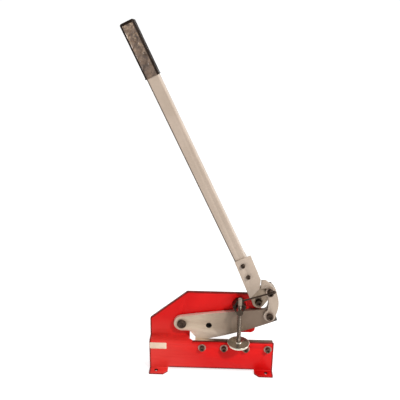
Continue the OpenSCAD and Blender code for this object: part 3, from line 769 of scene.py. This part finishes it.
def clamp_pad():
    """Turned pad: rounded rim, slightly dished top, boss with a fillet at its foot."""
    name = "clamp_pad_turned"
    low, high = box_of("clamp_pad")
    middle = (low + high) / 2
    r = (high.x - low.x) / 2
    top = high.z - low.z
    rim = 5.5 * MM
    dish = rim - 0.3 * MM
    boss = 7 * MM
    bore = 5.05 * MM
    seat = 2.75 * MM
    foot = [(0, 0), (r - 1.2 * MM, 0), (r - 0.35 * MM, 0.35 * MM), (r, 1.2 * MM)]
    brim = [(r, rim - 1.5 * MM), (r - 0.45 * MM, rim - 0.45 * MM), (r - 1.5 * MM, rim)]
    face = [(r - 3 * MM, rim - 0.15 * MM), (r - 6 * MM, dish), (boss + 2.4 * MM, dish)]
    fillet = [(boss + 0.9 * MM, rim + 0.1 * MM), (boss + 0.2 * MM, rim + 0.6 * MM),
              (boss, rim + 1.1 * MM)]
    neck = [(boss, top - 0.9 * MM), (boss - 0.3 * MM, top - 0.3 * MM), (boss - 0.9 * MM, top)]
    hole = [(bore + 0.5 * MM, top), (bore, top - 0.5 * MM), (bore, seat), (0, seat)]
    rings = [ring(radius, z) if radius else [(0, 0, z)]
             for radius, z in foot + brim + face + fillet + neck + hole]
    bm = bmesh.new()
    skin(bm, rings, Matrix.Translation((middle.x, middle.y, low.z)))
    show(name, from_bm(name, bm, sharp=50), POLISHED, "clamp_pad")


def hole_film(name, material, body, place, hole_r, deep, brim=0.0):
    """Dark film of painted shade on the wall of a hole that runs down from Z = 0, and on a brim round
    it.
    """
    r = hole_r - FILM_GAP
    rings = [ring(r, 0), ring(r, -deep), ring(r - FILM, -deep), ring(r - FILM, FILM)]
    if brim:
        rings += [ring(r + brim, FILM), ring(r + brim + FILM, 0)]
    bm = bmesh.new()
    skin(bm, rings + [ring(r, 0)], place)
    bmesh.ops.remove_doubles(bm, verts=bm.verts, dist=WELD)
    show(name, from_bm(name, bm), material, body=body)


def bar_hole_shade():
    """Painted shade: dark films in the two holes in which round bar is sheared."""
    low, high = (Vector(corner) for corner in BAR_HOLE)
    middle = (low + high) / 2
    blade_low, blade_high = box_of("upper_blade")
    hole_film("blade_hole_shade", DARK_HOLE_SHADE, "blade", facing(middle.x, blade_low.y, middle.z),
              BLADE_HOLE_R, blade_high.y - blade_low.y, brim=0.9 * MM)
    hole_film("plate_hole_shade", DARK_HOLE_SHADE, "frame", facing(middle.x, BACK_FACE, middle.z),
              PLATE_HOLE_R, PLATE_T, brim=4 * MM)


def base_hole_shade():
    """Painted shade: dark red films in the four base holes, from a little below the top of the feet.
    """
    deep = PLATE_T - 0.7 * MM
    across = BASE_BOLTS["spacing_x_mm"] / 2 * MM
    along = BASE_BOLTS["spacing_y_mm"] / 2 * MM
    for i, (x, y) in enumerate(((-1, -1), (1, -1), (-1, 1), (1, 1))):
        hole_film("base_hole_dirt_%d" % (i + 1), RED_HOLE_SHADE, "frame",
                  Matrix.Translation((x * across, y * along, deep)),
                  BASE_BOLTS["hole_r_mm"] * MM, deep)


def label():
    """Blank label with round corners near the upper left corner of the front plate."""
    name = "front_label"
    low, high = box_of("front_plate")
    wide, tall = 42 * MM, 17.5 * MM
    from_left, from_top = 1 * MM, 5.5 * MM
    r = 2 * MM
    thick = 0.25 * MM
    points = []
    for k, (x, y) in enumerate(((1, 1), (-1, 1), (-1, -1), (1, -1))):
        for a in steps(k * math.pi / 2, (k + 1) * math.pi / 2, 5):
            points.append((x * (wide / 2 - r) + r * math.cos(a), y * (tall / 2 - r) + r * math.sin(a)))

    def at(z, shrink=1.0):
        return [(x * shrink, y * shrink, z) for x, y in points]
    bm = bmesh.new()
    skin(bm, [[(0, 0, 0)], at(0), at(0.7 * thick), at(thick, 0.99), [(0, 0, thick)]],
         facing(low.x + from_left + wide / 2, FRONT_FACE, high.z - from_top - tall / 2))
    show(name, from_bm(name, bm), LABEL, body=BODY_OF["front_plate"])


# Faces that the materials tell apart

LEDGE_END = box_of("lower_blade")[0].x - LEDGE_GAP
CLAMP_LEFT = box_of("clamp_screw")[0].x
FRONT_TOP = box_of("front_plate")[1].z - 2 * MM


def back_edge(at, normal):
    """Sheared edges of the back plate above its feet, given thin paint and painted shade."""
    return at.z > SKIRT_TOP and abs(normal.y) < 0.8


def front_edge(at, normal):
    """Sheared edges of the front plate: its top to the right of the ledge, and its ends. They get thin
    paint and painted shade.
    """
    top = normal.z > 0.6 and at.z > FRONT_TOP and at.x > LEDGE_END
    return top or at.z > SKIRT_TOP and abs(normal.x) > 0.6


def blade_lit_top(at, normal):
    """Top of the upper blade to the left of the clamp, painted lighter as lit."""
    return normal.z > 0.4 and at.x < CLAMP_LEFT


def lever_shaded_left(at, normal):
    """Faces of the lever that look to the left, painted dark as shade."""
    return normal.dot(LEVER_LEFT) > 0.2


def stud_end(at, normal):
    """Front end of the clamp arm."""
    return normal.y < -0.85


# Frame, blades, lever and links
rounded("back_plate", 0.8 * MM, RED_BACK, back_edge)
rounded("front_plate", 0.8 * MM, RED_FRONT, front_edge)
rounded("frame_spacers", 0.8 * MM, RED)
rounded("lower_blade", 0.3 * MM, LOWER)
rounded("upper_blade", 0.35 * MM, BLADE, blade_lit_top)
rounded("lever_tongue", 0.5 * MM, TONGUE)
rounded("lever_head", 1.0 * MM, GREY, lever_shaded_left)
rounded("lever_bar", 0.4 * MM, GREY_BAR, lever_shaded_left)
for link in ("front_link", "rear_link"):
    rounded(link, 0.55 * MM, LINK)

# Washers, bushes, pin, what lies on the surface, and painted shade in the holes
rounded("lower_blade_washers", 0.25 * MM, RED_REFLECTING_PLATING)
for washer in ("blade_pivot_washers", "link_washers"):
    rounded(washer, 0.25 * MM, WASHER)
for bush in ("blade_bush", "lever_bush", "blade_pivot_spacer", "lever_pivot_spacer"):
    rounded(bush, 0.2 * MM, BRONZE)
rounded("blade_end_pin", 0.2 * MM, PLATED)
grip()
label()
bar_hole_shade()
base_hole_shade()

# Screws and nuts
screws("lower_blade_screws", M8, head_h=8 * MM, threaded=6 * MM, material=WORN)
screws("blade_pivot_bolt", M14, head_h=4 * MM, threaded=12 * MM)
screws("lever_pivot_bolt", M12, head_h=13 * MM, threaded=10 * MM)
screws("link_upper_bolt", M12, head_h=13 * MM, threaded=10 * MM)
screws("link_lower_bolt", M12, head_h=7 * MM, threaded=0)
screws("lever_bolts", M6, head_h=6 * MM, threaded=6 * MM)
nuts("blade_pivot_nut", M14)
nuts("lever_pivot_nut", M12)
nuts("link_upper_nut", M12)
nuts("lever_bolt_nuts", M6, LEVER)
nuts("clamp_arm_nuts", M16, material=DEEP)
rounded("link_lower_nut", 0.4 * MM, OXIDE)

# Clamp
rounded("clamp_arm", 1.3 * MM, STUD, stud_end)
clamp_pad()
clamp_screw()
rounded("clamp_handle", 0.5 * MM, OXIDE)
rounded("clamp_ball", 0.3 * MM, OXIDE)


# Stage, light and camera, in metres, watts and degrees

def stage_floor(half, drop):
    """Floor of this half width, this far below the feet."""
    bm = bmesh.new()
    bmesh.ops.create_grid(bm, x_segments=8, y_segments=8, size=half)
    mesh = bpy.data.meshes.new("floor")
    bm.to_mesh(mesh)
    bm.free()
    mesh.materials.append(FLOOR)
    obj = bpy.data.objects.new("floor", mesh)
    obj.location.z = -drop
    bpy.context.scene.collection.objects.link(obj)


def sky(level, lean, white, clear, hazy):
    """White studio of one level, brighter towards where it leans. From one height over the
    horizon down to another it turns as white as the floor."""
    world = bpy.data.worlds.new("studio")
    bpy.context.scene.world = world
    world.use_nodes = True
    n = Nodes(world.node_tree)
    way = n.add("TexCoord", out="Generated")
    high = n.add("SeparateXYZ", {"Vector": way}, out="Z")
    strength = n.add("Mix", {
        "Factor": n.span(high, clear, hazy), "A": n.math("ADD", n.dot(way, lean), level),
        "B": white})
    light = n.add("Background", {"Color": (1, 1, 1, 1), "Strength": strength})
    n.add("OutputWorld", {"Surface": light})


def area_light(name, at, aim, size, power):
    """Rectangular light at one point, aimed at another."""
    data = bpy.data.lights.new(name, "AREA")
    data.shape = "RECTANGLE"
    data.size, data.size_y = size
    data.energy = power
    obj = bpy.data.objects.new(name, data)
    obj.location = at
    obj.rotation_euler = (Vector(aim) - Vector(at)).to_track_quat("-Z", "Y").to_euler()
    bpy.context.scene.collection.objects.link(obj)


def make_camera(at, pitch, yaw, roll, lens):
    """Camera at a point. The angles pitch it down, turn it to the right and raise its right side."""
    pitch, yaw, roll = (math.radians(a) for a in (pitch, yaw, roll))
    ahead = Vector((math.sin(yaw) * math.cos(pitch), math.cos(yaw) * math.cos(pitch),
                    -math.sin(pitch)))
    level = Vector((math.cos(yaw), -math.sin(yaw), 0))
    upright = level.cross(ahead)
    right = math.cos(roll) * level + math.sin(roll) * upright
    up = math.cos(roll) * upright - math.sin(roll) * level
    data = bpy.data.cameras.new("camera")
    data.lens = lens
    data.sensor_width = 36.0
    data.clip_end = 200
    obj = bpy.data.objects.new("camera", data)
    turn = Matrix((right, up, -ahead)).transposed().to_4x4()
    obj.matrix_world = Matrix.Translation(at) @ turn
    bpy.context.scene.collection.objects.link(obj)
    bpy.context.scene.camera = obj


stage_floor(half=60, drop=0.2 * MM)
sky(level=0.71, lean=(0.4, 0.5, 0), white=1.05, clear=0.26, hazy=0.13)
area_light("key", at=(1.1, -1.3, 1.85), aim=(0, 0, 0.2), size=(0.16, 0.16), power=40)
area_light("edge", at=(1.7, -0.15, 0.6), aim=(0, 0, 0.45), size=(0.3, 1.5), power=3.5)
make_camera(at=(-1.12 * MM, -1079.28 * MM, 822.08 * MM), pitch=18.905, yaw=-1.676, roll=0.647,
            lens=45.0)
bpy.context.scene.view_settings.view_transform = "Standard"
